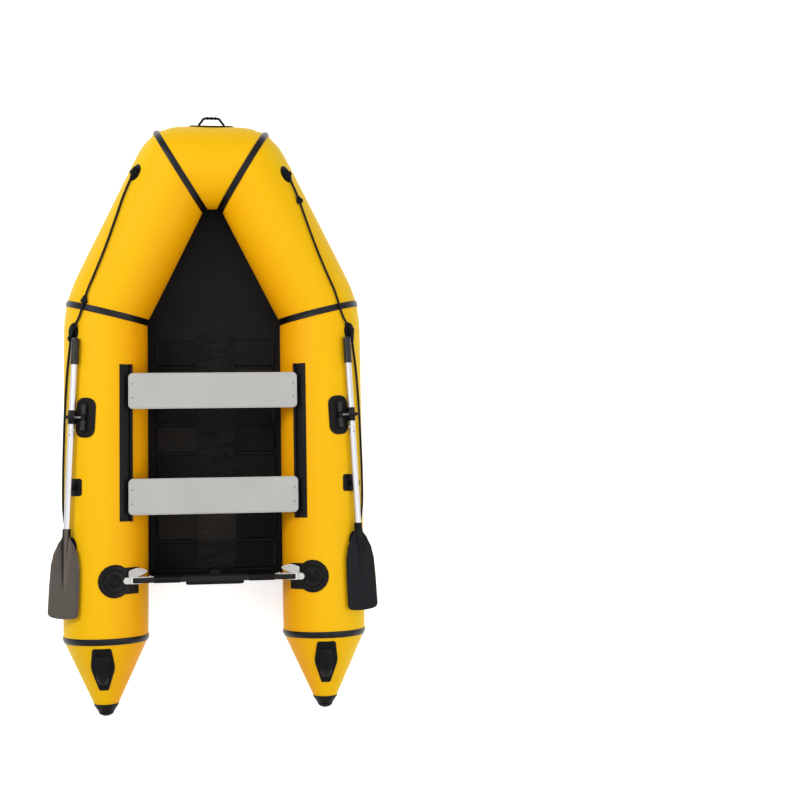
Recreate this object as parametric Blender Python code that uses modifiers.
"""Inflatable boat with a hard transom, five air tubes, a slatted floor, two sliding seats and two oars.

Metres, +Z up, bow towards +Y. The origin is under the middle of the boat, on the surface that it stands on.
A station is a distance forward of the transom's middle plane.
"""

import math

import bmesh
import bpy
from mathutils import Matrix, Vector

# Clearances and fabrics
fit_gap = 0.0003
running_gap = 0.0006
cut_overrun = 0.010
weld_distance = 0.00001

# Air tubes
tube_radius = 0.210
tube_wall = 0.0012
tube_sides = 48
tube_half_spacing = 0.550
nose_half_width = 0.171
nose_rise = 0.140
nose_station = 2.088
elbow_station = 1.360
cone_seam_station = -0.294
cone_length = 0.333
cone_end_radius = 0.057
diaphragm_setback = 0.120
diaphragm_dish = 0.045
dish_steps = 3

# Tail caps
cap_lap = 0.009
cap_wall = 0.0022
cap_length = 0.055
cap_shoulder_radius = 0.040
cap_shoulder = 0.030
cap_arc_steps = 4

# Seam tapes
tape_width = 0.032
tape_thickness = 0.0012
tape_lift = 0.0004

# Hull floor: the skin, its edge band and the chafe patches under the transom's ends
skin_thickness = 0.0012
band_thickness = 0.0010
band_bite = 0.0002
band_outer_lap = 0.016
band_inner_lap = 0.058
chafe_radius = 0.120
chafe_lap = 0.060
chafe_thickness = 0.0008
patch_arc_steps = 14

# Transom
transom_thickness = 0.025
transom_drop = 0.0203
transom_corner_radius = 0.020
transom_foot_angle = math.radians(161.25)
transom_shoulder_angle = math.radians(45)

# Transom holders and their brackets
holder_radius = 0.082
holder_angle = math.radians(18)
holder_thickness = 0.004
holder_tab_width = 0.130
holder_tab_angle = math.radians(54)
holder_notch_angle = math.radians(43)
holder_boss_radius = 0.050
holder_boss_height = 0.007
holder_slot_width = 0.040
bracket_arm_width = 0.033
bracket_arm_inner_angle = math.radians(29)
bracket_arm_outer_angle = math.radians(42.5)
bracket_arm_thickness = 0.006
bracket_plate = 0.004
bracket_wing_length = 0.100
bracket_wing_height = 0.060
bracket_wing_taper = 0.040
bracket_tail_length = 0.045
bracket_tail_height = 0.036
bracket_block_length = 0.010
bracket_drop = 0.008
bracket_screw_radius = 0.0055
bracket_screw_height = 0.004
bracket_screw_spacing = 0.032
wing_arc_steps = 4

# Motor pads and drain
outer_pad_width = 0.286
outer_pad_height = 0.190
outer_pad_thickness = 0.015
inner_pad_width = 0.330
inner_pad_height = 0.170
inner_pad_thickness = 0.008
pad_corner_radius = 0.022
pad_chamfer = 0.003
pad_drop = 0.004
clamp_lug_radius = 0.031
clamp_lug_height = 0.014
clamp_lug_drop = 0.010
drain_height = 0.042
drain_bore = 0.0105
drain_wall = 0.0035
drain_flange_radius = 0.021
drain_flange = 0.0035
drain_stem_length = 0.020
drain_head_radius = 0.015
drain_head = 0.009
drain_knob_radius = 0.006
drain_knob = 0.008

# Slatted floor
slat_count = 8
slat_front_station = 1.241
slat_back_station = 0.029
slat_width = 0.136
slat_length = 0.628
slat_thickness = 0.012
slat_edge = 0.003
slat_corner_radius = 0.016
slat_band_width = 0.200
slat_band_thickness = 0.0025
slat_band_bite = 0.0010
slat_tab_length = 0.030

# Seat rails
rail_middle_station = 0.684
rail_length = 0.783
rail_inner_angle = math.radians(43.5)
rail_outer_angle = math.radians(24.5)
rail_strip = 0.0025
rail_bead_angle = math.radians(40)
rail_bead_radius = 0.006
rail_neck_width = 0.006
rail_neck_height = 0.006
bead_arc_steps = 12

# Seats and their sliding clips
seat_end_lap = 0.0114987
seat_width = 0.176
seat_thickness = 0.018
seat_corner_radius = 0.020
seat_edge = 0.004
front_seat_station = 0.939
rear_seat_station = 0.412
clip_length = 0.110
clip_wall = 0.0036
clip_gap = 0.0007
clip_slot = 0.0088
clip_flange_inboard = 0.022
clip_flange_outboard = 0.011
clip_flange = 0.0035
clip_neck_angle = math.radians(50)
clip_arc_steps = 10

# Rowlocks
rowlock_station = 0.809
rowlock_angle = math.radians(22)
rowlock_base_length = 0.198
rowlock_base_width = 0.107
rowlock_base_thickness = 0.004
rowlock_base_corner = 0.042
rowlock_yaw = math.radians(3)
knuckle_radius = 0.0125
knuckle_length = 0.048
hub_length = 0.030
hub_gap = 0.0006
journal_radius = 0.006
stub_radius = 0.006
stub_dip = math.radians(20)
stub_length = 0.0620
nut_radius = 0.010
nut_length = 0.017
nut_dome_shares = [(0.5, 1.0), (0.9, 0.6), (1.0, 0.35)]
washer_radius = 0.0105
washer_thickness = 0.003

# Oars
oar_drop = math.radians(1.0)
oar_radius = 0.016
oar_wall = 0.0015
oar_collar_radius = 0.0190
oar_collar_length = 0.072
oar_bore_gap = 0.0004
oar_grip_reach = 0.394
oar_grip_length = 0.131
oar_grip_radius = 0.0190
oar_grip_wall = 0.0027
oar_grip_groove = 0.0012
oar_grip_grooves = 4
oar_split_reach = 0.068
oar_spigot_length = 0.046
oar_neck_reach = 0.573
blade_socket_depth = 0.045
blade_socket_lead = 0.022
blade_socket_wall = 0.004
blade_length = 0.413
blade_half_width = 0.0825
blade_thickness = 0.007
blade_edge = 0.002
blade_rib_share = 0.72
blade_rib_tip = 0.0040
# Share of the blade's length from its neck, then share of its half width
blade_width_shares = [
    (0.00, 0.20), (0.055, 0.27), (0.14, 0.52), (0.26, 0.80), (0.40, 0.93), (0.66, 0.975), (0.93, 1.00),
]
blade_corner_share = 0.05992736

# Oar keepers
keeper_station = 0.465
keeper_angle = math.radians(38)
keeper_patch_length = 0.086
keeper_patch_width = 0.080
keeper_corner_radius = 0.014
keeper_patch_thickness = 0.003
keeper_clip_length = 0.026
keeper_clip_wall = 0.004
keeper_stem_radius = 0.008
keeper_half_turn = math.radians(60)
keeper_arc_steps = 4
keeper_room = 0.0035

# Lifelines and their eyes
line_radius = 0.004
line_tail = 0.024
line_tail_turn = math.radians(3)
line_points = 56
eye_long_radius = 0.045
eye_short_radius = 0.037
eye_thickness = 0.003
eye_ring_wire = 0.0016
eye_ring_play = 0.0006
eye_ring_steps = 12
bow_eye_share = 0.852
bow_eye_angle = math.radians(48)
middle_eye_station = 1.241
middle_eye_angle = math.radians(43)
aft_eye_station = 0.175
aft_eye_angle = math.radians(46)
# Points between the eyes: share of the run between two eyes or corners, then degrees from the top
bow_run_shares = [(0.70, 45), (0.54, 38), (0.37, 32), (0.21, 28.5), (0.09, 26.5)]
elbow_run_shares = [(0.08, 26), (0.45, 31), (0.80, 39)]
aft_run_shares = [(0.07, 47), (0.20, 54), (0.36, 60), (0.52, 64), (0.68, 67), (0.83, 66), (0.93, 56)]

# Handles
bow_handle_width = 0.227
bow_handle_height = 0.110
bow_handle_elevation = math.radians(12)
bow_handle_thickness = 0.004
bail_half_foot = 0.063
bail_half_top = 0.040
bail_standoff = 0.042
bail_radius = 0.0065
bail_grip_radius = 0.0085
bail_finger_count = 3
stern_handle_station = -0.434
stern_handle_half_length = 0.108
stern_handle_end_half_width = 0.034
stern_handle_half_width = 0.057
stern_handle_waist_half_length = 0.012
stern_handle_thickness = 0.004
strap_half_length = 0.070
strap_height = 0.024
strap_thickness = 0.007
strap_half_width = 0.020
strap_foot_half_length = 0.018
strap_shoulder_share = 0.45
strap_crown_share = 1.06
strap_inset = 0.0098

# Air valves
valve_patch_radius = 0.038
valve_patch_thickness = 0.003
valve_collar_radius = 0.027
valve_collar_height = 0.004
valve_cap_radius = 0.022
valve_cap_height = 0.006
valve_cap_top_share = 0.8
valve_angle = math.radians(116)
valve_station = 1.140
bow_valve_angle = math.radians(138.75)

# Counts that set how fine the round pieces are
fine_sides = 24
round_sides = 16
small_sides = 10
corner_steps = 4
sharp_angle = math.radians(35)

# Worked out from the values above
facet = 2 * math.pi / tube_sides
axis_height = band_thickness - band_bite + skin_thickness + fit_gap + tube_radius
transom_top = axis_height + tube_radius - transom_drop
skin_top = band_thickness - band_bite + skin_thickness
cone_slope = (tube_radius - cone_end_radius) / cone_length
cone_end_station = cone_seam_station - cone_length
stern_reach = -cone_end_station + cap_length
bow_reach = nose_station + (tube_radius + bail_standoff) * math.cos(bow_handle_elevation) + bail_grip_radius
box_middle = (bow_reach - stern_reach) / 2
board_clearance = fit_gap * 2 + chafe_thickness
transom_half_top = tube_half_spacing - (tube_radius + board_clearance) * math.sin(transom_shoulder_angle)
eye_ring_radius = line_radius + eye_ring_play + eye_ring_wire
line_height = fit_gap + eye_thickness / 4 + eye_ring_wire + eye_ring_radius
bead_height = fit_gap + rail_strip + rail_neck_height + rail_bead_radius
seat_length = 2 * (tube_half_spacing - (tube_radius + bead_height) * math.sin(rail_bead_angle) + seat_end_lap)
seat_bottom = (
    axis_height
    + (tube_radius + bead_height) * math.cos(rail_bead_angle)
    + rail_bead_radius + clip_gap + clip_wall + clip_flange
)
port_and_starboard = (("port", -1), ("starboard", 1))


def ship_y(station):
    """The Y of a station."""
    return station - box_middle


def clear_scene():
    for leftover in list(bpy.data.objects):
        bpy.data.objects.remove(leftover)
    for leftover in list(bpy.data.collections):
        bpy.data.collections.remove(leftover)


def new_collection(name):
    collection = bpy.data.collections.new(name)
    bpy.context.scene.collection.children.link(collection)
    return collection


def new_material(name, colour, roughness, metallic=0.0):
    material = bpy.data.materials.new(name)
    material.use_nodes = True
    shader = material.node_tree.nodes["Principled BSDF"]
    shader.inputs["Base Color"].default_value = (*colour, 1.0)
    shader.inputs["Roughness"].default_value = roughness
    shader.inputs["Metallic"].default_value = metallic
    return material


clear_scene()
boat = new_collection("inflatable_boat")
tools = new_collection("boat_cutters")

yellow_fabric = new_material("yellow_fabric", (1.0, 0.55, 0.005), 0.45)
black_tape = new_material("black_tape", (0.020, 0.018, 0.024), 0.5)
slate_fabric = new_material("slate_fabric", (0.035, 0.045, 0.060), 0.55)
black_rubber = new_material("black_rubber", (0.016, 0.015, 0.018), 0.6)
black_board = new_material("black_board", (0.012, 0.012, 0.014), 0.5)
black_plastic = new_material("black_plastic", (0.014, 0.014, 0.016), 0.4)
white_plastic = new_material("white_plastic", (0.80, 0.78, 0.72), 0.4)
grey_board = new_material("grey_board", (0.52, 0.51, 0.48), 0.6)
bright_tube = new_material("bright_tube", (0.80, 0.80, 0.82), 0.25, 1.0)
steel_pin = new_material("steel_pin", (0.45, 0.45, 0.46), 0.35, 1.0)
blade_plastic = new_material("blade_plastic", (0.030, 0.032, 0.040), 0.45)
black_rope = new_material("black_rope", (0.010, 0.010, 0.012), 0.8)


class Tube:
    """A straight tube: a point of its axis, its direction, its top and its outer side, facet by facet."""

    def __init__(self, origin, along, side, radius_at=None):
        self.origin = Vector(origin)
        self.along = Vector(along).normalized()
        upright = Vector((0, 0, 1))
        self.top = (upright - self.along * upright.dot(self.along)).normalized()
        self.out = self.along.cross(self.top) * side
        self.radius_at = radius_at or (lambda distance: tube_radius)

    def direction(self, angle):
        return self.top * math.cos(angle) + self.out * math.sin(angle)

    def point(self, angle, distance, height):
        """A point at a height over the tube's flat facets. Angles run from the top towards the outer side."""
        low = math.floor(angle / facet + weld_distance)
        share = angle / facet - low
        across = self.direction(low * facet).lerp(self.direction((low + 1) * facet), share)
        return self.origin + self.along * distance + across * (self.radius_at(distance) + height)

    def matrix(self, angle, distance, height):
        """Local X across the tube, Y along it and Z out of it, at a point over its surface."""
        normal = self.direction(angle)
        across = self.direction(angle + math.pi / 2)
        return axes_matrix(self.origin + self.along * distance + normal * (self.radius_at(distance) + height),
                           across, self.along, normal)


def axes_matrix(origin, x_axis, y_axis, z_axis):
    matrix = Matrix.Identity(4)
    for column, axis in enumerate((x_axis, y_axis, z_axis, origin)):
        for row in range(3):
            matrix[row][column] = axis[row]
    return matrix


def shift(x=0.0, y=0.0, z=0.0):
    return Matrix.Translation((x, y, z))


def turn(angle, axis):
    return Matrix.Rotation(angle, 4, axis)


def cone_radius(distance):
    """The side tube's radius: constant to the cone's seam, then tapering."""
    return tube_radius - max(0.0, ship_y(cone_seam_station) - distance) * cone_slope


def side_tube(side):
    return Tube((side * tube_half_spacing, 0, axis_height), (0, 1, 0), side, cone_radius)


def elbow_point(side):
    return Vector((side * tube_half_spacing, ship_y(elbow_station), axis_height))


def corner_point(side):
    return Vector((side * nose_half_width, ship_y(nose_station), axis_height + nose_rise))


def bow_tube(side):
    """Its distances run from the elbow to the nose corner."""
    return Tube(elbow_point(side), corner_point(side) - elbow_point(side), side)


def nose_tube():
    """Its outer side faces forward, and its distances run towards starboard."""
    return Tube((0, ship_y(nose_station), axis_height + nose_rise), (1, 0, 0), -1)


bow_length = (corner_point(1) - elbow_point(1)).length


def mitre_normal(first, second):
    return (first.normalized() + second.normalized()).normalized()


# Meshes from Blender's own shapes


def object_of(name, mesh, material, collection):
    thing = bpy.data.objects.new(name, mesh)
    collection.objects.link(thing)
    if material:
        mesh.materials.append(material)
    if collection is tools:
        thing.hide_render = True
        thing.display_type = "WIRE"
    return thing


def mesh_of(name, shape):
    bmesh.ops.recalc_face_normals(shape, faces=shape.faces)
    if shape.calc_volume(signed=True) < 0:
        bmesh.ops.reverse_faces(shape, faces=shape.faces)
    mesh = bpy.data.meshes.new(name)
    shape.to_mesh(mesh)
    shape.free()
    mesh.shade_smooth()
    mesh.set_sharp_from_angle(angle=sharp_angle)
    return mesh


def solid(name, material, base, added=(), removed=()):
    """A named sub-part: a base shape, with others joined to it and others cut out of it."""
    thing = object_of(name, mesh_of(name, base), material, boat)
    for operation, shapes in (("UNION", added), ("DIFFERENCE", removed)):
        for number, shape in enumerate(shapes):
            label = f"{name}_{operation.lower()}_{number}"
            modifier = thing.modifiers.new(label, "BOOLEAN")
            modifier.object = object_of(label, mesh_of(label, shape), None, tools)
            modifier.operation = operation
            modifier.solver = "EXACT"
    return thing


def evaluated_shape(thing):
    """The evaluated mesh of a helper object, which is then removed."""
    bpy.context.view_layer.update()
    mesh = bpy.data.meshes.new_from_object(thing.evaluated_get(bpy.context.evaluated_depsgraph_get()))
    shape = bmesh.new()
    shape.from_mesh(mesh)
    bmesh.ops.remove_doubles(shape, verts=shape.verts, dist=weld_distance)
    shape.transform(thing.matrix_world)
    bpy.data.meshes.remove(mesh)
    bpy.data.objects.remove(thing)
    return shape


def cylinder(radius, length, matrix=None, sides=round_sides, end_radius=None):
    """A cylinder or cone along local Z, centred on its length."""
    shape = bmesh.new()
    bmesh.ops.create_cone(
        shape, cap_ends=True, segments=sides, radius1=radius,
        radius2=radius if end_radius is None else end_radius, depth=length,
        matrix=matrix or Matrix.Identity(4),
    )
    return shape


def box(x_size, y_size, z_size, matrix=None):
    shape = bmesh.new()
    size = Matrix.Diagonal((x_size, y_size, z_size, 1))
    bmesh.ops.create_cube(shape, size=1.0, matrix=(matrix or Matrix.Identity(4)) @ size)
    return shape


def turned(profile, matrix=None, sides=fine_sides, closed=False):
    """A profile of radius and height, turned about local Z by a Screw modifier."""
    mesh = bpy.data.meshes.new("profile")
    edges = [(number, number + 1) for number in range(len(profile) - 1)]
    if closed:
        edges.append((len(profile) - 1, 0))
    mesh.from_pydata([(radius, 0, height) for radius, height in profile], edges, [])
    thing = bpy.data.objects.new("profile", mesh)
    tools.objects.link(thing)
    screw = thing.modifiers.new("Screw", "SCREW")
    screw.axis = "Z"
    screw.angle = 2 * math.pi
    screw.steps = sides
    screw.render_steps = sides
    screw.use_merge_vertices = True
    screw.merge_threshold = weld_distance
    shape = evaluated_shape(thing)
    if matrix:
        shape.transform(matrix)
    return shape


def plate(outline, thickness, chamfer=0.0, matrix=None):
    """A flat outline made thick along local Z, with its upper rim chamfered."""
    shape = bmesh.new()
    shape.faces.new([shape.verts.new((x, y, 0)) for x, y in outline])
    made = bmesh.ops.extrude_face_region(shape, geom=shape.faces[:])["geom"]
    upper = [item for item in made if isinstance(item, bmesh.types.BMVert)]
    bmesh.ops.translate(shape, verts=upper, vec=(0, 0, thickness))
    if chamfer:
        rim = [item for item in made if isinstance(item, bmesh.types.BMEdge)]
        bmesh.ops.bevel(shape, geom=rim, offset=chamfer, segments=1, affect="EDGES")
    bmesh.ops.recalc_face_normals(shape, faces=shape.faces)
    if matrix:
        shape.transform(matrix)
    return shape


def swept(points, radius, sides=2, closed=False):
    """A round bar or wire through points, as a curve object's mesh."""
    return evaluated_shape(curve_object("bar", points, radius, sides, tools, closed))


def curve_object(name, points, radius, resolution, collection, closed=False):
    curve = bpy.data.curves.new(name, "CURVE")
    curve.dimensions = "3D"
    curve.bevel_depth = radius
    curve.bevel_resolution = resolution
    curve.use_fill_caps = True
    spline = curve.splines.new("POLY")
    spline.points.add(len(points) - 1)
    for place, point in zip(spline.points, points):
        place.co = (*point, 1.0)
    spline.use_cyclic_u = closed
    thing = bpy.data.objects.new(name, curve)
    collection.objects.link(thing)
    return thing


def smooth_path(points, count):
    """Evenly spaced points on one smooth curve through the given ones."""
    points = [Vector(point) for point in points]
    dense = []
    steps = 16
    padded = [points[0] * 2 - points[1], *points, points[-1] * 2 - points[-2]]
    for a, b, c, d in zip(padded, padded[1:], padded[2:], padded[3:]):
        for step in range(steps):
            t = step / steps
            bend = a * 2 - b * 5 + c * 4 - d
            turn_over = b * 3 - a - c * 3 + d
            dense.append((b * 2 + (c - a) * t + bend * t ** 2 + turn_over * t ** 3) / 2)
    dense.append(points[-1])
    reach = [0.0]
    for a, b in zip(dense, dense[1:]):
        reach.append(reach[-1] + (b - a).length)
    path = []
    for number in range(count):
        wanted = reach[-1] * number / (count - 1)
        index = next((i for i in range(1, len(reach)) if reach[i] >= wanted), len(reach) - 1)
        share = (wanted - reach[index - 1]) / (reach[index] - reach[index - 1])
        path.append(dense[index - 1].lerp(dense[index], share))
    return path


def arc(middle_x, middle_y, radius, start, end, steps):
    """Points on an arc, both ends included."""
    return [
        (middle_x + radius * math.cos(start + (end - start) * step / steps),
         middle_y + radius * math.sin(start + (end - start) * step / steps))
        for step in range(steps + 1)
    ]


def rounded_rectangle(half_x, half_y, radius, steps=corner_steps):
    points = []
    for quarter, (x, y) in enumerate(((1, 1), (-1, 1), (-1, -1), (1, -1))):
        points += arc(x * (half_x - radius), y * (half_y - radius), radius,
                      quarter * math.pi / 2, (quarter + 1) * math.pi / 2, steps)
    return points


def ellipse(half_x, half_y, steps=fine_sides):
    angles = [2 * math.pi * step / steps for step in range(steps)]
    return [(half_x * math.cos(angle), half_y * math.sin(angle)) for angle in angles]


def turned_outline(outline, angle):
    across = math.cos(angle)
    up = math.sin(angle)
    return [(x * across - y * up, x * up + y * across) for x, y in outline]


def wrapped(flat, tube, angle, distance, height):
    """Lays a flat solid round a tube: X becomes the arc outboard, Y the distance along and Z the height."""
    radius = tube.radius_at(distance)
    lowest = min(vertex.co.x for vertex in flat.verts)
    highest = max(vertex.co.x for vertex in flat.verts)
    first = math.ceil((angle + lowest / radius) / facet)
    last = math.floor((angle + highest / radius) / facet)
    for number in range(first, last + 1):
        bmesh.ops.bisect_plane(
            flat, geom=[*flat.verts, *flat.edges, *flat.faces], dist=weld_distance,
            plane_co=((number * facet - angle) * radius, 0, 0), plane_no=(1, 0, 0),
        )
    for vertex in flat.verts:
        x, y, z = vertex.co
        vertex.co = tube.point(angle + x / radius, distance + y, height + z)
    return flat


# Air tubes


def open_pipe(tube, radius, start, end):
    """The side of a cylinder round a tube's axis, open at both ends."""
    shape = bmesh.new()
    bmesh.ops.create_cone(
        shape, cap_ends=False, segments=tube_sides, radius1=radius, radius2=radius, depth=end - start,
        matrix=axes_matrix(tube.origin + tube.along * (start + end) / 2, tube.out, tube.top, tube.along),
    )
    return shape


def trim(shape, point, normal):
    """Removes what lies beyond a plane."""
    bmesh.ops.bisect_plane(
        shape, geom=[*shape.verts, *shape.edges, *shape.faces], dist=weld_distance / 10,
        plane_co=point, plane_no=normal, clear_outer=True,
    )


def merged(first, second):
    """Both shapes in one."""
    mesh = bpy.data.meshes.new("merged")
    second.to_mesh(mesh)
    second.free()
    first.from_mesh(mesh)
    bpy.data.meshes.remove(mesh)
    return first


def open_edges(shape, point, normal):
    """The boundary edges on the far side of a plane."""
    return [
        edge for edge in shape.edges
        if edge.is_boundary and (edge.verts[0].co - point).dot(normal) > 0
    ]


def bridge(shape, edges):
    bmesh.ops.bridge_loops(shape, edges=edges)


def make_straight_tube(name, tube, start, end, planes):
    """A fabric tube, trimmed by a plane at each end."""
    shapes = []
    for radius in (tube_radius, tube_radius - tube_wall):
        shape = open_pipe(tube, radius, start, end)
        for point, normal in planes:
            trim(shape, point - normal * fit_gap / 2, normal)
        shapes.append(shape)
    bmesh.ops.reverse_faces(shapes[1], faces=shapes[1].faces)
    shape = merged(*shapes)
    middle = tube.origin + tube.along * (start + end) / 2
    bridge(shape, open_edges(shape, middle, tube.along))
    bridge(shape, open_edges(shape, middle, -tube.along))
    solid(name, yellow_fabric, shape)


def make_side_tube(name, side):
    """Cylinder and cone in one, with a dished diaphragm that parts the chambers near the elbow."""
    tube = side_tube(side)
    front = ship_y(elbow_station) + tube_radius
    seam = ship_y(cone_seam_station)
    end = ship_y(cone_end_station)
    inner = tube_radius - tube_wall
    wall = ship_y(elbow_station) - diaphragm_setback
    dish = arc(0, 0, 1, 0, math.pi / 2, dish_steps)[1:]
    dish = [(inner * across, diaphragm_dish * deep) for across, deep in dish]
    profile = [(tube_radius, front), (tube_radius, seam), (cone_end_radius, end)]
    profile += [(cone_end_radius - tube_wall, end), (inner, seam + tube_wall * cone_slope / 2)]
    profile.append((inner, wall - tube_wall))
    profile += [(radius, wall - tube_wall - depth) for radius, depth in dish[:-1]]
    profile += [(0, wall - tube_wall - diaphragm_dish), (0, wall - diaphragm_dish)]
    profile += [(radius, wall - depth) for radius, depth in reversed(dish[:-1])]
    profile += [(inner, wall), (inner, front)]
    shape = turned(profile, axes_matrix(tube.origin, tube.top, tube.out, tube.along), tube_sides)
    normal = mitre_normal(tube.along, bow_tube(side).along)
    trim(shape, elbow_point(side) - normal * fit_gap / 2, normal)
    bridge(shape, [edge for edge in shape.edges if edge.is_boundary])
    solid(name, yellow_fabric, shape)


def make_tubes():
    for label, side in port_and_starboard:
        make_side_tube(f"{label}_side_tube", side)
        bow = bow_tube(side)
        nose_direction = Vector((-side, 0, 0))
        make_straight_tube(
            f"{label}_bow_tube", bow, -tube_radius, bow_length + tube_radius,
            ((elbow_point(side), -mitre_normal(Vector((0, 1, 0)), bow.along)),
             (corner_point(side), mitre_normal(bow.along, nose_direction))),
        )
    reach = nose_half_width + tube_radius
    planes = []
    for label, side in port_and_starboard:
        planes.append((corner_point(side), -mitre_normal(bow_tube(side).along, Vector((-side, 0, 0)))))
    make_straight_tube("nose_tube", nose_tube(), -reach, reach, planes)


def floor_cutter():
    """What lies under the hull floor's upper face."""
    outer, fold, slope = plan_of_bottom(chafe_radius)
    mirrored = [(-x, y) for x, y in reversed(outer)]
    return bent_sheet(outer + mirrored, fold, slope, -cut_overrun, cut_overrun + skin_top + fit_gap)


def make_mitre_tape(name, tube, point, normal):
    """A tape round a mitre, down to the floor: one half lies along the tube, the other mirrors it."""
    mirror = shift(*point) @ Matrix.Scale(-1, 4, normal) @ shift(*-point)
    distance = (point - tube.origin).dot(tube.along)
    shapes = []
    for radius in (tube_radius + tape_lift, tube_radius + tape_lift + tape_thickness):
        shape = open_pipe(tube, radius, distance - tube_radius * 2, distance + tube_radius * 2)
        trim(shape, point, normal)
        trim(shape, point - normal * tape_width / 2, -normal)
        other = shape.copy()
        other.transform(mirror)
        shape = merged(shape, other)
        bmesh.ops.remove_doubles(shape, verts=shape.verts, dist=weld_distance)
        bmesh.ops.recalc_face_normals(shape, faces=shape.faces)
        shapes.append(shape)
    bmesh.ops.reverse_faces(shapes[0], faces=shapes[0].faces)
    shape = merged(*shapes)
    bridge(shape, open_edges(shape, point, normal))
    bridge(shape, open_edges(shape, point, -normal))
    solid(name, black_tape, shape, removed=[floor_cutter()])


def make_tapes():
    half = tape_width / 2
    inner = tube_radius + tape_lift
    outer = inner + tape_thickness
    for label, side in port_and_starboard:
        tube = side_tube(side)
        bow = bow_tube(side)
        elbow_normal = mitre_normal(tube.along, bow.along)
        nose_normal = mitre_normal(bow.along, Vector((-side, 0, 0)))
        make_mitre_tape(f"{label}_elbow_tape", tube, elbow_point(side), elbow_normal)
        make_mitre_tape(f"{label}_nose_tape", bow, corner_point(side), nose_normal)
        profile = [(outer, half), (outer, 0), (outer - half * cone_slope, -half)]
        profile += [(inner - half * cone_slope, -half), (inner, 0), (inner, half)]
        seam = tube.origin + tube.along * ship_y(cone_seam_station)
        seat = axes_matrix(seam, tube.top, tube.out, tube.along)
        solid(f"{label}_cone_tape", black_tape, turned(profile, seat, tube_sides, closed=True))


def make_tail_caps():
    round_out = 1 / math.cos(math.pi / fine_sides)
    lap_inner = (cone_end_radius + cap_lap * cone_slope + fit_gap) * round_out
    end_inner = (cone_end_radius + fit_gap) * round_out
    profile = [(0, -fit_gap), (end_inner, -fit_gap), (lap_inner, cap_lap), (lap_inner + cap_wall, cap_lap)]
    profile += [(end_inner + cap_wall, 0), (cap_shoulder_radius, -cap_shoulder)]
    tip = cap_length - cap_shoulder
    for step in range(1, cap_arc_steps + 1):
        angle = step * math.pi / 2 / cap_arc_steps
        profile.append((cap_shoulder_radius * math.cos(angle), -cap_shoulder - tip * math.sin(angle)))
    profile[-1] = (0, -cap_length)
    for label, side in port_and_starboard:
        tube = side_tube(side)
        end = tube.origin + tube.along * ship_y(cone_end_station)
        seat = axes_matrix(end, tube.top, tube.out, tube.along)
        solid(f"{label}_tail_cap", black_rubber, turned(profile, seat))


# Hull floor


def plan_of_bottom(lap):
    """Half of the floor's edge from the transom to the nose, a lap outboard of the tubes' lowest line."""
    slope = nose_rise / (nose_station - elbow_station)
    tilt = math.atan(slope)
    fold = ship_y(elbow_station) + tube_radius * math.tan(tilt / 2)
    nose_line = ship_y(nose_station) + tube_radius * math.sin(tilt)
    plan_angle = math.atan((tube_half_spacing - nose_half_width) / (nose_station - elbow_station))
    aft = ship_y(-transom_thickness / 2)
    corner_inset = lap * math.tan((math.pi / 2 - plan_angle) / 2)
    fold_x = tube_half_spacing + lap - lap * math.tan(plan_angle / 2) * math.tan(plan_angle)
    return [
        (tube_half_spacing + lap, aft),
        (fold_x, fold),
        (nose_half_width + corner_inset, nose_line + lap),
    ], fold, slope


def bent_sheet(outline, fold, slope, low, thickness):
    """A sheet cut to a plan outline, its bow part bent up along the fold."""
    shape = plate(outline, thickness)
    bmesh.ops.bisect_plane(
        shape, geom=[*shape.verts, *shape.edges, *shape.faces], dist=weld_distance,
        plane_co=(0, fold, 0), plane_no=(0, 1, 0),
    )
    for vertex in shape.verts:
        vertex.co.z += low + max(0.0, vertex.co.y - fold) * slope
    return shape


def make_hull_floor():
    outer, fold, slope = plan_of_bottom(band_outer_lap)
    inner, fold, slope = plan_of_bottom(-band_inner_lap)
    mirrored = [(-x, y) for x, y in reversed(outer)]
    skin = bent_sheet(outer + mirrored, fold, slope, band_thickness - band_bite, skin_thickness)
    inner_mirrored = [(-x, y) for x, y in reversed(inner)]
    ring = outer + mirrored + [(x, y) for x, y in reversed(inner + inner_mirrored)]
    band = bent_sheet(ring, fold, slope, 0, band_thickness)
    patches = []
    for label, side in port_and_starboard:
        flat = plate(ellipse(chafe_radius, chafe_radius, patch_arc_steps * 2), chafe_thickness)
        patches.append(wrapped(flat, side_tube(side), math.pi, ship_y(0), fit_gap))
    solid("hull_floor", slate_fabric, skin, [band, *patches])


def make_slatted_floor():
    pitch = (slat_front_station - slat_back_station - slat_width) / (slat_count - 1)
    low = skin_top + fit_gap
    slats = []
    for number in range(slat_count):
        station = slat_back_station + slat_width / 2 + pitch * number
        outline = rounded_rectangle(slat_length / 2, slat_width / 2, slat_corner_radius, 2)
        slats.append(plate(outline, slat_thickness, slat_edge, shift(0, ship_y(station), low)))
    length = slat_front_station - slat_back_station
    middle = ship_y((slat_front_station + slat_back_station + slat_tab_length) / 2)
    band = plate(
        rounded_rectangle(slat_band_width / 2, (length + slat_tab_length) / 2, slat_corner_radius, 3),
        slat_band_thickness + slat_band_bite, slat_band_bite / 2,
        shift(0, middle, low + slat_thickness - slat_band_bite),
    )
    solid("slatted_floor", black_board, band, slats)


# Transom


def upright_plate(outline, back_station, thickness, chamfer=0.0):
    """A plate whose outline is in X and Z, made thick towards the stern."""
    matrix = axes_matrix((0, ship_y(back_station), 0), (1, 0, 0), (0, 0, 1), (0, -1, 0))
    return plate(outline, thickness, chamfer, matrix)


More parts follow.
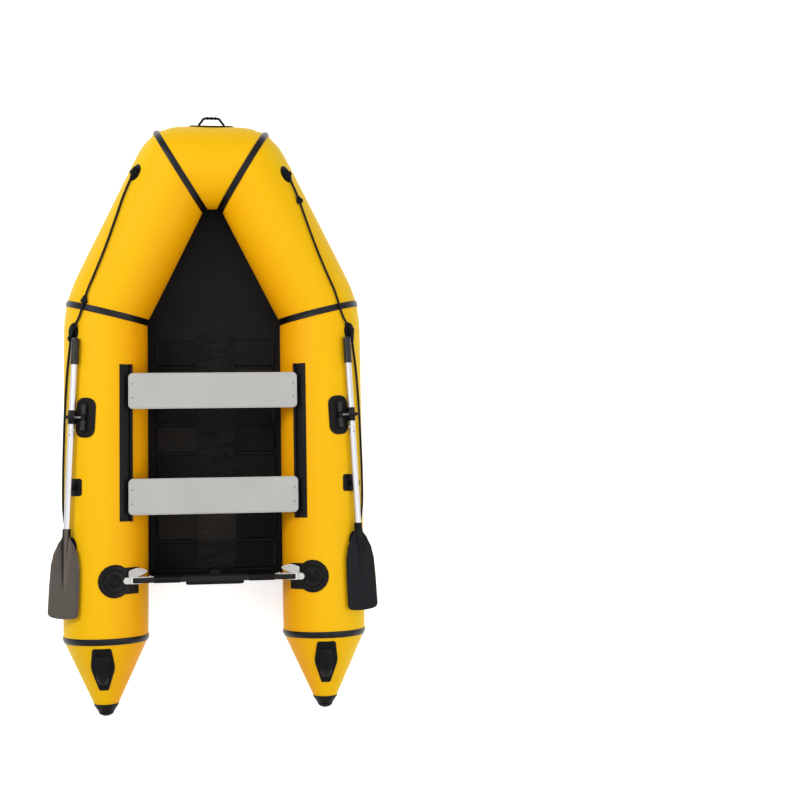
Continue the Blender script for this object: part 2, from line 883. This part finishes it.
def transom_outline():
    half = [(0, skin_top + fit_gap)]
    tube = side_tube(1)
    first = round(transom_foot_angle / facet)
    last = round(transom_shoulder_angle / facet)
    foot = tube.point(-first * facet, 0, board_clearance)
    half.append((foot.x, skin_top + fit_gap))
    for number in range(first, last - 1, -1):
        point = tube.point(-number * facet, 0, board_clearance)
        half.append((point.x, point.z))
    half += arc(transom_half_top - transom_corner_radius, transom_top - transom_corner_radius,
                transom_corner_radius, 0, math.pi / 2, corner_steps)
    return half + [(-x, z) for x, z in reversed(half[1:])]


def make_transom():
    board = upright_plate(transom_outline(), transom_thickness / 2, transom_thickness)
    through = cylinder(
        drain_bore + drain_wall + fit_gap, transom_thickness + cut_overrun * 2,
        shift(0, ship_y(0), skin_top + drain_height) @ turn(math.pi / 2, "X"),
    )
    solid("transom_board", black_board, board, removed=[through])


def holder_outline():
    """A disc with a wide tab, notched for the board's edge. X runs outboard from the disc's middle."""
    tab_half = holder_tab_width / 2
    tab_end = -(holder_tab_angle - holder_angle) * tube_radius
    notch_end = -(holder_notch_angle - holder_angle) * tube_radius
    notch_half = transom_thickness / 2 + fit_gap
    start = math.pi - math.asin(tab_half / holder_radius)
    points = arc(0, 0, holder_radius, -start, start, patch_arc_steps)
    points += [(tab_end, tab_half), (tab_end, notch_half), (notch_end, notch_half)]
    points += [(notch_end, -notch_half), (tab_end, -notch_half), (tab_end, -tab_half)]
    return points


def make_transom_holders():
    slot_half = holder_slot_width / 2
    opening = math.asin(slot_half / holder_boss_radius)
    slot_end = -(bracket_arm_inner_angle - holder_angle) * tube_radius + holder_slot_width / 4
    boss_outline = arc(0, 0, holder_boss_radius, -math.pi + opening, math.pi - opening, patch_arc_steps)
    boss_outline += [(slot_end, slot_half), (slot_end, -slot_half)]
    boss_start = holder_thickness / 2
    for label, side in port_and_starboard:
        tube = side_tube(side)
        place = (tube, -holder_angle, ship_y(0))
        pad = wrapped(plate(holder_outline(), holder_thickness, holder_thickness / 4), *place, fit_gap)
        boss = plate(boss_outline, holder_boss_height + boss_start, holder_boss_height / 3)
        solid(f"{label}_transom_holder", black_rubber, pad, [wrapped(boss, *place, fit_gap + boss_start)])


def make_transom_brackets():
    """An arm laid over the holder, a block beyond the board's end, and a plate on each face of the board."""
    half_board = transom_thickness / 2 + fit_gap
    arm_middle = (bracket_arm_inner_angle + bracket_arm_outer_angle) / 2
    arm_half = (bracket_arm_outer_angle - bracket_arm_inner_angle) * tube_radius / 2
    end_x = transom_half_top + fit_gap
    top = transom_top - bracket_drop
    for label, side in port_and_starboard:
        tube = side_tube(side)
        clearance = holder_thickness + fit_gap * 2
        outline = rounded_rectangle(arm_half, bracket_arm_width / 2, bracket_arm_width / 2 - fit_gap * 2)
        arm = wrapped(plate(outline, bracket_arm_thickness, bracket_arm_thickness / 4),
                      tube, -arm_middle, ship_y(0), clearance)
        block_end = end_x + bracket_block_length
        foot_angle = math.asin((tube_half_spacing - block_end) / (tube_radius + clearance))
        foot = tube.point(-foot_angle, 0, clearance).z
        block = box(
            bracket_block_length, (half_board + bracket_plate) * 2, top - foot,
            shift(side * (end_x + bracket_block_length / 2), ship_y(0), (top + foot) / 2),
        )
        parts = [block]
        wing_start = end_x + bracket_block_length / 2
        for forward, length, height, taper in (
            (1, bracket_wing_length, bracket_wing_height, bracket_wing_taper),
            (-1, bracket_tail_length, bracket_tail_height, bracket_tail_height / 2),
        ):
            outline = [
                (side * wing_start, top), (side * (end_x - length + taper), top),
                (side * (end_x - length), top - taper / 2),
                (side * (end_x - length), top - height + taper / 2),
                (side * (end_x - length + taper), top - height),
            ]
            low = math.acos((top - height - axis_height) / (tube_radius + clearance))
            start = math.asin((tube_half_spacing - wing_start) / (tube_radius + clearance))
            for step in range(wing_arc_steps + 1):
                edge = tube.point(-low + (low - start) * step / wing_arc_steps, 0, clearance)
                outline.append((edge.x, edge.z))
            station = half_board + bracket_plate if forward > 0 else -half_board
            parts.append(upright_plate(outline, station, bracket_plate))
        for number in (0, 1):
            screw_x = end_x - bracket_wing_length / 2 + bracket_screw_spacing * (number - 1)
            parts.append(cylinder(
                bracket_screw_radius, bracket_screw_height * 2,
                shift(side * screw_x, ship_y(half_board + bracket_plate), top - bracket_wing_height / 2)
                @ turn(math.pi / 2, "X"), small_sides,
            ))
        solid(f"{label}_transom_bracket", white_plastic, arm, parts)


def make_motor_pads():
    half_board = transom_thickness / 2 + fit_gap
    outline = rounded_rectangle(outer_pad_width / 2, outer_pad_height / 2, pad_corner_radius)
    middle = transom_top - pad_drop - outer_pad_height / 2
    solid("outer_motor_pad", black_plastic, upright_plate(
        [(x, z + middle) for x, z in outline], -half_board, outer_pad_thickness, pad_chamfer))
    outline = rounded_rectangle(inner_pad_width / 2, inner_pad_height / 2, pad_corner_radius)
    middle = transom_top - pad_drop - inner_pad_height / 2
    matrix = axes_matrix((0, ship_y(half_board), middle), (-1, 0, 0), (0, 0, 1), (0, 1, 0))
    pad = plate(outline, inner_pad_thickness, pad_chamfer, matrix)
    lug_middle = transom_top - pad_drop - clamp_lug_drop - clamp_lug_height / 2
    half_round = arc(0, 0, clamp_lug_radius, 0, math.pi, patch_arc_steps // 2)
    lug = plate(half_round, clamp_lug_height, pad_chamfer, shift(
        0, ship_y(half_board + inner_pad_thickness / 2), lug_middle - clamp_lug_height / 2))
    solid("inner_motor_pad", black_plastic, pad, [lug])


def make_drain():
    """A flanged sleeve through the board, and the bung that closes it from outside. Local Z looks aft."""
    half_board = transom_thickness / 2
    seat = axes_matrix((0, ship_y(0), skin_top + drain_height), (1, 0, 0), (0, 0, 1), (0, -1, 0))
    outer = drain_bore + drain_wall
    face = half_board + fit_gap
    profile = [
        (drain_bore, face + drain_flange), (drain_flange_radius, face + drain_flange),
        (drain_flange_radius, face),
        (outer, face), (outer, -half_board), (drain_bore, -half_board),
    ]
    solid("drain_sleeve", black_plastic, turned(profile, seat, round_sides, closed=True))
    stem = drain_bore - fit_gap
    head = face + drain_flange + fit_gap
    profile = [
        (0, head + drain_head + drain_knob), (drain_knob_radius, head + drain_head + drain_knob),
        (drain_knob_radius, head + drain_head), (drain_head_radius * 3 / 4, head + drain_head),
        (drain_head_radius, head + drain_head / 2), (drain_head_radius, head), (stem, head),
        (stem, head - drain_stem_length), (0, head - drain_stem_length),
    ]
    solid("drain_plug", black_rubber, turned(profile, seat, round_sides))


# Seats


def bead_place(tube):
    """The middle of a rail's bead, at station zero."""
    return tube.origin + tube.direction(-rail_bead_angle) * (tube_radius + bead_height)


def bead_points(tube):
    """The bead's section on its neck, from the inboard side round to the outboard side."""
    bead = bead_place(tube)
    normal = tube.direction(-rail_bead_angle)
    across = tube.direction(-rail_bead_angle - math.pi / 2)
    start = math.asin(rail_neck_width / 2 / rail_bead_radius)
    points = []
    for step in range(bead_arc_steps + 1):
        angle = start - math.pi / 2 + (2 * math.pi - 2 * start) * step / bead_arc_steps
        points.append(bead + (across * math.cos(angle) + normal * math.sin(angle)) * rail_bead_radius)
    return points


def make_rails():
    """One outline across the tube, made long: a curved strip that carries a necked bead."""
    neck = math.asin(rail_neck_width / 2 / tube_radius)
    first = math.ceil(rail_outer_angle / facet)
    last = math.floor(rail_inner_angle / facet)
    angles = [rail_outer_angle, *(number * facet for number in range(first, last + 1)), rail_inner_angle]
    inboard = [angle for angle in reversed(angles) if angle > rail_bead_angle + neck]
    outboard = [angle for angle in reversed(angles) if angle < rail_bead_angle - neck]
    lip = fit_gap + rail_strip
    for label, side in port_and_starboard:
        tube = side_tube(side)
        outline = [tube.point(-angle, 0, fit_gap) for angle in angles]
        outline += [tube.point(-angle, 0, lip) for angle in [*inboard, rail_bead_angle + neck]]
        outline += bead_points(tube)
        outline += [tube.point(-angle, 0, lip) for angle in [rail_bead_angle - neck, *outboard]]
        front = ship_y(rail_middle_station) + rail_length / 2
        matrix = axes_matrix((0, front, 0), (1, 0, 0), (0, 0, 1), (0, -1, 0))
        rail = plate([(point.x, point.z) for point in outline], rail_length, 0.0, matrix)
        solid(f"{label}_seat_rail", black_rubber, rail)


def clip_outline(side):
    """A flange under the seat and a C that runs round the rail's bead, about the bead's middle."""
    inner = rail_bead_radius + clip_gap
    outer = inner + clip_wall
    mouth = rail_bead_angle - math.pi / 2
    inner_half = math.asin(clip_slot / 2 / inner)
    outer_half = math.asin(clip_slot / 2 / outer)
    neck_half = outer * math.cos(clip_neck_angle)
    far_mouth = mouth + 2 * math.pi
    points = arc(0, 0, outer, mouth + outer_half, clip_neck_angle, clip_arc_steps // 2)
    points += [(neck_half, outer), (clip_flange_outboard, outer)]
    points += [(clip_flange_outboard, outer + clip_flange), (-clip_flange_inboard, outer + clip_flange)]
    points += [(-clip_flange_inboard, outer), (-neck_half, outer)]
    points += arc(0, 0, outer, math.pi - clip_neck_angle, far_mouth - outer_half, clip_arc_steps)
    points += arc(0, 0, inner, far_mouth - inner_half, mouth + inner_half, clip_arc_steps)
    return [(side * x, z) for x, z in points]


def make_seats():
    for label, station in (("front", front_seat_station), ("rear", rear_seat_station)):
        outline = rounded_rectangle(seat_length / 2, seat_width / 2, seat_corner_radius)
        board = plate(outline, seat_thickness, seat_edge, shift(0, ship_y(station), seat_bottom + fit_gap))
        solid(f"{label}_seat", grey_board, board)
        for half, side in port_and_starboard:
            bead = bead_place(side_tube(side))
            front = (bead.x, ship_y(station) + clip_length / 2, bead.z)
            matrix = axes_matrix(front, (1, 0, 0), (0, 0, 1), (0, -1, 0))
            clip = plate(clip_outline(side), clip_length, 0.0, matrix)
            solid(f"{label}_seat_{half}_clip", black_plastic, clip)


# Rowlocks and oars


def hinge_matrix(side):
    """The rowlock's hinge: local Y forward along the hinge, X outboard and level, Z up."""
    tube = side_tube(side)
    height = fit_gap + rowlock_base_thickness + knuckle_radius + running_gap * 2
    origin = tube.origin + tube.direction(rowlock_angle) * (tube_radius + height)
    origin.y = ship_y(rowlock_station)
    forward = Vector((-side * math.sin(rowlock_yaw), math.cos(rowlock_yaw), 0))
    outboard = Vector((side * math.cos(rowlock_yaw), math.sin(rowlock_yaw), 0))
    return axes_matrix(origin, outboard, forward, (0, 0, 1))


def oar_matrix(side):
    """The oar where its pin crosses it: local Y towards the grip, X outboard, Z off the blade's face."""
    dip = turn(stub_dip, "Y")
    lower = turn(oar_drop, "X")
    return hinge_matrix(side) @ dip @ shift(stub_length) @ lower


def rider(name, matrix):
    """An empty on a joint's axis, which carries the moving pieces."""
    empty = bpy.data.objects.new(name, None)
    boat.objects.link(empty)
    empty.matrix_world = matrix
    return empty


def carry(thing, empty):
    bpy.context.view_layer.update()
    thing.parent = empty
    thing.matrix_parent_inverse = empty.matrix_world.inverted()


def along_y(matrix=None):
    """Turns a shape made along local Z to run along local Y."""
    return (matrix or Matrix.Identity(4)) @ turn(-math.pi / 2, "X")


def along_x(matrix=None):
    return (matrix or Matrix.Identity(4)) @ turn(math.pi / 2, "Y")


def make_rowlock_bases():
    outline = rounded_rectangle(rowlock_base_width / 2, rowlock_base_length / 2, rowlock_base_corner)
    for label, side in port_and_starboard:
        tube = side_tube(side)
        hinge = hinge_matrix(side)
        flat = plate(turned_outline(outline, rowlock_yaw), rowlock_base_thickness, rowlock_base_thickness / 3)
        base = wrapped(flat, tube, rowlock_angle, ship_y(rowlock_station), fit_gap)
        added = []
        removed = []
        offset = hub_length / 2 + hub_gap + knuckle_length / 2
        web = knuckle_radius + running_gap * 2 + rowlock_base_thickness / 2
        for end in (-1, 1):
            seat = hinge @ shift(0, end * offset)
            added.append(box(knuckle_radius * 2, knuckle_length - fit_gap, web,
                             seat @ turn(rowlock_angle, "Y") @ shift(0, 0, -web / 2)))
            added.append(cylinder(knuckle_radius, knuckle_length, along_y(seat)))
        removed.append(cylinder(journal_radius + fit_gap, rowlock_base_length, along_y(hinge)))
        solid(f"{label}_rowlock_base", black_rubber, base, added, removed)


def make_rowlock_pins():
    """A hub on a shaft through the knuckles, and the stub that holds the oar, with its washer and nut."""
    journal = hub_length + (hub_gap + knuckle_length) * 2
    for label, side in port_and_starboard:
        hinge = hinge_matrix(side)
        stub_axis = hinge @ turn(stub_dip, "Y")
        collar = stub_length + oar_collar_radius
        nut_start = collar + fit_gap
        reach = nut_start + nut_length / 2
        dome = [(nut_radius * wide, nut_length * high) for wide, high in nut_dome_shares]
        washer_middle = stub_length - oar_collar_radius - fit_gap - washer_thickness / 2
        hub = cylinder(knuckle_radius, hub_length, along_y(hinge))
        added = [
            cylinder(journal_radius, journal, along_y(hinge), small_sides),
            cylinder(stub_radius, reach, along_x(stub_axis @ shift(reach / 2)), small_sides),
            cylinder(washer_radius, washer_thickness, along_x(stub_axis @ shift(washer_middle))),
            turned([(0, nut_length), *dome, (nut_radius, 0), (0, 0)],
                   along_x(stub_axis @ shift(nut_start)), round_sides),
        ]
        solid(f"{label}_rowlock_pin", steel_pin, hub, added)


def make_oars():
    """Each oar: an upper and a lower shaft that part at a spigot, a grip and a ribbed blade."""
    bore = oar_radius - oar_wall
    spigot = bore - fit_gap
    grip_inner = oar_radius + fit_gap
    for label, side in port_and_starboard:
        axis = oar_matrix(side)
        half_collar = oar_collar_length / 2
        upper = turned([
            (oar_radius, oar_grip_reach - oar_grip_wall), (oar_radius, half_collar),
            (oar_collar_radius, half_collar), (oar_collar_radius, -half_collar),
            (oar_radius, -half_collar), (oar_radius, -oar_split_reach),
            (bore, -oar_split_reach), (bore, oar_grip_reach - oar_grip_wall),
        ], along_y(axis), round_sides, closed=True)
        level = axis @ turn(-oar_drop, "X")
        hole = cylinder(stub_radius + oar_bore_gap, oar_collar_radius * 4, along_x(level), small_sides)
        solid(f"{label}_upper_shaft", bright_tube, upper, removed=[hole])
        lower_end = -oar_neck_reach - blade_socket_depth + blade_socket_lead
        lower = turned([
            (spigot, -oar_split_reach + oar_spigot_length), (spigot, -oar_split_reach - fit_gap),
            (oar_radius, -oar_split_reach - fit_gap), (oar_radius, lower_end), (spigot - oar_wall, lower_end),
            (spigot - oar_wall, -oar_split_reach + oar_spigot_length),
        ], along_y(axis), round_sides, closed=True)
        solid(f"{label}_lower_shaft", bright_tube, lower)
        make_grip(f"{label}_oar_grip", axis, grip_inner)
        make_blade(f"{label}_oar_blade", axis)


def make_grip(name, axis, inner):
    """A sleeve over the shaft's end, closed at the tip, with turned grooves."""
    start = oar_grip_reach - oar_grip_length
    pitch = oar_grip_length / (oar_grip_grooves + 1)
    end = oar_grip_reach - oar_grip_wall
    profile = [(0, end + fit_gap), (inner, end + fit_gap), (inner, start), (oar_grip_radius, start)]
    for number in range(1, oar_grip_grooves + 1):
        middle = start + pitch * number
        for place, depth in ((-1, 0), (0, oar_grip_groove), (1, 0)):
            profile.append((oar_grip_radius - depth, middle + place * oar_grip_groove * 2))
    profile += [(oar_grip_radius, end), (oar_grip_radius - oar_grip_wall, oar_grip_reach)]
    profile.append((0, oar_grip_reach))
    solid(name, black_rubber, turned(profile, along_y(axis), round_sides))


def make_blade(name, axis):
    """A flat blade that widens from its neck. Its socket runs out into a tapering rib on each face."""
    stations = []
    for along, wide in blade_width_shares:
        stations.append((wide * blade_half_width, -oar_neck_reach - along * blade_length, 0))
    path = smooth_path(stations, len(blade_width_shares) * 3)
    half = [(point.x, point.y) for point in path]
    radius = blade_corner_share * blade_length
    end = -oar_neck_reach - blade_length
    half += arc(blade_half_width - radius, end + radius, radius, 0, -math.pi / 2, corner_steps)
    outline = half + [(-x, y) for x, y in reversed(half)]
    flat = plate(outline, blade_thickness, blade_edge, shift(0, 0, -blade_thickness / 2))
    socket = oar_radius + fit_gap + blade_socket_wall
    socket_start = -oar_neck_reach + blade_socket_lead
    socket_end = socket_start - blade_socket_depth - blade_socket_wall
    rib_end = -oar_neck_reach - blade_length * blade_rib_share
    rib = turned([
        (0, socket_start), (socket, socket_start), (socket, socket_end),
        (blade_rib_tip, rib_end), (0, rib_end),
    ], along_y(axis), round_sides)
    bore_end = socket_start - blade_socket_depth - fit_gap
    bore = cylinder(
        oar_radius + fit_gap, blade_socket_depth + cut_overrun,
        along_y(axis @ shift(0, (bore_end + socket_start + cut_overrun) / 2)))
    flat.transform(axis)
    solid(name, blade_plastic, rib, [flat], [bore])


def make_keepers():
    """A patch with an open rest, tilted outboard, that the lower shaft swings up and out of."""
    inner = (oar_radius + keeper_room) / math.cos(keeper_half_turn / keeper_arc_steps)
    low_side = -math.pi / 2 - keeper_half_turn
    high_side = -math.pi / 2 + keeper_half_turn
    outer = inner + keeper_clip_wall
    for label, side in port_and_starboard:
        tube = side_tube(side)
        axis = oar_matrix(side)
        level = (ship_y(keeper_station) - axis.translation.y) / (axis.to_3x3() @ Vector((0, 1, 0))).y
        seat = axis @ shift(0, level)
        outline = arc(0, 0, outer, low_side, high_side, keeper_arc_steps)
        outline += arc(0, 0, inner, high_side, low_side, keeper_arc_steps)
        back = along_y(seat @ shift(0, -keeper_clip_length / 2)) @ turn(math.pi - side * stub_dip, "Z")
        rest = plate(outline, keeper_clip_length, 0.0, back)
        middle = seat.translation
        offset = Vector((middle.x, 0, middle.z)) - Vector((tube.origin.x, 0, tube.origin.z))
        angle = math.atan2(offset.x * side, offset.z)
        flat = plate(rounded_rectangle(keeper_patch_width / 2, keeper_patch_length / 2, keeper_corner_radius),
                     keeper_patch_thickness, keeper_patch_thickness / 3)
        patch = wrapped(flat, tube, keeper_angle, ship_y(keeper_station), fit_gap)
        low = tube_radius + fit_gap + keeper_patch_thickness / 2
        high = offset.length - (inner + outer) / 2
        stem_middle = tube.origin + tube.direction(angle) * ((low + high) / 2)
        stem_middle.y = ship_y(keeper_station)
        stem = cylinder(
            keeper_stem_radius, high - low,
            axes_matrix(stem_middle, tube.direction(angle + math.pi / 2), tube.along, tube.direction(angle)))
        solid(f"{label}_oar_keeper", black_rubber, patch, [stem, rest])


# Lifelines


def eye_places(side):
    """The tube, angle and distance of each eye, from bow to stern."""
    tube = side_tube(side)
    return (
        ("bow", bow_tube(side), bow_eye_angle, bow_eye_share * bow_length),
        ("middle", tube, middle_eye_angle, ship_y(middle_eye_station)),
        ("aft", tube, aft_eye_angle, ship_y(aft_eye_station)),
    )


def place_on_line(place, path):
    """The line's point nearest to a place, and its direction there."""
    nearest = []
    for start, end in zip(path, path[1:]):
        run = end - start
        share = max(0.0, min(1.0, (place - start).dot(run) / run.length_squared))
        point = start + run * share
        nearest.append(((place - point).length, point, run.normalized()))
    return min(nearest, key=lambda found: found[0])[1:]


def lifeline_path(side):
    """The line's route over the tubes: through the three eyes, high at the elbow and slack over the flank."""
    tube = side_tube(side)
    bow = bow_tube(side)
    _, middle_y, aft_y = [distance for _, _, _, distance in eye_places(side)]
    bow_distance = bow_eye_share * bow_length
    elbow = ship_y(elbow_station)
    points = [(bow, bow_eye_angle, bow_distance + line_tail), (bow, bow_eye_angle, bow_distance)]
    points += [(bow, math.radians(angle), share * bow_length) for share, angle in bow_run_shares]
    for share, angle in elbow_run_shares:
        points.append((tube, math.radians(angle), elbow + (middle_y - elbow) * share))
    points.append((tube, middle_eye_angle, middle_y))
    for share, angle in aft_run_shares:
        points.append((tube, math.radians(angle), middle_y + (aft_y - middle_y) * share))
    points += [(tube, aft_eye_angle, aft_y), (tube, aft_eye_angle - line_tail_turn, aft_y - line_tail)]
    route = [place.matrix(angle, distance, line_height).translation for place, angle, distance in points]
    return smooth_path(route, line_points)


def make_lifelines():
    for label, side in port_and_starboard:
        path = lifeline_path(side)
        line = curve_object(f"{label}_lifeline", path, line_radius, 2, boat)
        line.data.materials.append(black_rope)
        for place, tube, angle, distance in eye_places(side):
            flat = plate(ellipse(eye_short_radius, eye_long_radius), eye_thickness, eye_thickness / 3)
            patch = wrapped(flat, tube, angle, distance, fit_gap)
            seat = tube.matrix(angle, distance, line_height)
            middle, forward = place_on_line(seat.translation, path)
            normal = Vector(seat.col[2][:3])
            normal = (normal - forward * normal.dot(forward)).normalized()
            across = forward.cross(normal)
            steps = [2 * math.pi * step / eye_ring_steps for step in range(eye_ring_steps)]
            ring = swept(
                [middle + (across * math.cos(step) + normal * math.sin(step)) * eye_ring_radius
                 for step in steps], eye_ring_wire, 1, closed=True)
            solid(f"{label}_{place}_eye", black_rubber, patch, [ring])


# Handles


def make_bow_handle():
    """An oval pad on the nose and a bail with finger bumps."""
    tube = nose_tube()
    angle = math.pi / 2 - bow_handle_elevation
    outline = ellipse(bow_handle_height / 2, bow_handle_width / 2)
    flat = plate(outline, bow_handle_thickness, bow_handle_thickness / 3)
    pad = wrapped(flat, tube, angle, 0, fit_gap)
    seat = tube.matrix(angle, 0, 0)
    foot = fit_gap + bow_handle_thickness / 2
    rise = bail_standoff
    bend = bail_radius * 2
    half = [
        (bail_half_foot, foot), (bail_half_foot, foot + bend / 2), (bail_half_top + bend / 2, rise - bend),
        (bail_half_top, rise - bend / 4), (bail_half_top - bend, rise),
    ]
    corners = [(-along, height) for along, height in half] + list(reversed(half))
    bail = swept([seat @ Vector((0, along, height)) for along, height in corners], bail_radius)
    added = [bail]
    pitch = bail_half_top * 2 / (bail_finger_count + 1)
    for number in range(bail_finger_count):
        along = -bail_half_top + pitch * (number + 1)
        bump = bmesh.new()
        bmesh.ops.create_uvsphere(
            bump, u_segments=small_sides, v_segments=small_sides // 2, radius=bail_grip_radius,
            matrix=seat @ shift(0, along, rise))
        added.append(bump)
    solid("bow_handle", black_rubber, pad, added)


def make_stern_handles():
    """A six-sided pad on each cone's top, bridged fore and aft by a strap that leaves room for fingers."""
    wide = stern_handle_half_width
    waist = stern_handle_waist_half_length
    end = stern_handle_end_half_width
    long = stern_handle_half_length
    outline = [(-end, long), (-wide, waist), (-wide, -waist), (-end, -long)]
    outline += [(-x, y) for x, y in reversed(outline)]
    for label, side in port_and_starboard:
        tube = side_tube(side)
        middle = ship_y(stern_handle_station)
        flat = plate(outline, stern_handle_thickness, stern_handle_thickness / 3)
        pad = wrapped(flat, tube, 0, middle, fit_gap)
        slope = math.atan(cone_slope)
        seat = tube.matrix(0, middle, 0) @ turn(slope, "X")
        low = fit_gap + stern_handle_thickness / 2
        strap = []
        shoulder = strap_half_length - strap_foot_half_length
        for height, inset in ((strap_height, 0.0), (strap_height - strap_thickness, strap_inset)):
            crown = height * strap_crown_share
            half = [(strap_half_length, 0.0), (shoulder, height * strap_shoulder_share)]
            half.append((shoulder / 2, height))
            run = [(-y, z) for y, z in half] + [(0.0, crown)] + list(reversed(half))
            run = [(y * (1 - inset / strap_half_length), z + low) for y, z in run]
            strap += reversed(run) if inset else run
        matrix = seat @ axes_matrix((-strap_half_width, 0, 0), (0, 1, 0), (0, 0, 1), (1, 0, 0))
        bridge_shape = plate(strap, strap_half_width * 2, 0.0, matrix)
        solid(f"{label}_stern_handle", black_rubber, pad, [bridge_shape])


def make_valves():
    """One valve a chamber, low on the tubes' inner flanks."""
    places = [("bow_air_valve", nose_tube(), -bow_valve_angle, 0)]
    for label, side in port_and_starboard:
        places.append((f"{label}_air_valve", side_tube(side), -valve_angle, ship_y(valve_station)))
    for name, tube, angle, distance in places:
        outline = ellipse(valve_patch_radius, valve_patch_radius)
        flat = plate(outline, valve_patch_thickness, valve_patch_thickness / 3)
        patch = wrapped(flat, tube, angle, distance, fit_gap)
        seat = tube.matrix(angle, distance, 0)
        low = fit_gap + valve_patch_thickness / 2 - valve_collar_height / 2
        rim = fit_gap + valve_patch_thickness + valve_collar_height
        top = rim + valve_cap_height
        cap = turned([
            (0, top), (valve_cap_radius * valve_cap_top_share, top),
            (valve_cap_radius, top - valve_cap_height / 2),
            (valve_cap_radius, rim), (valve_collar_radius, rim), (valve_collar_radius, low), (0, low),
        ], seat, round_sides)
        solid(name, black_plastic, patch, [cap])


def carry_moving_pieces():
    """Puts each moving group under an empty on its joint's axis."""
    for label, side in port_and_starboard:
        pivot = rider(f"{label}_rowlock_axis", hinge_matrix(side))
        for piece in ("rowlock_pin", "upper_shaft", "oar_grip"):
            carry(bpy.data.objects[f"{label}_{piece}"], pivot)
        slide = rider(f"{label}_oar_axis", oar_matrix(side))
        carry(slide, pivot)
        for piece in ("lower_shaft", "oar_blade"):
            carry(bpy.data.objects[f"{label}_{piece}"], slide)
    for label, station in (("front", front_seat_station), ("rear", rear_seat_station)):
        slide = rider(f"{label}_seat_axis", shift(0, ship_y(station), seat_bottom))
        for piece in ("seat", "seat_port_clip", "seat_starboard_clip"):
            carry(bpy.data.objects[f"{label}_{piece}"], slide)
    bung = rider("drain_plug_axis", shift(0, ship_y(0), skin_top + drain_height))
    carry(bpy.data.objects["drain_plug"], bung)


make_tubes()
make_tapes()
make_tail_caps()
make_hull_floor()
make_slatted_floor()
make_transom()
make_transom_holders()
make_transom_brackets()
make_motor_pads()
make_drain()
make_rails()
make_seats()
make_rowlock_bases()
make_rowlock_pins()
make_oars()
make_keepers()
make_lifelines()
make_bow_handle()
make_stern_handles()
make_valves()
carry_moving_pieces()
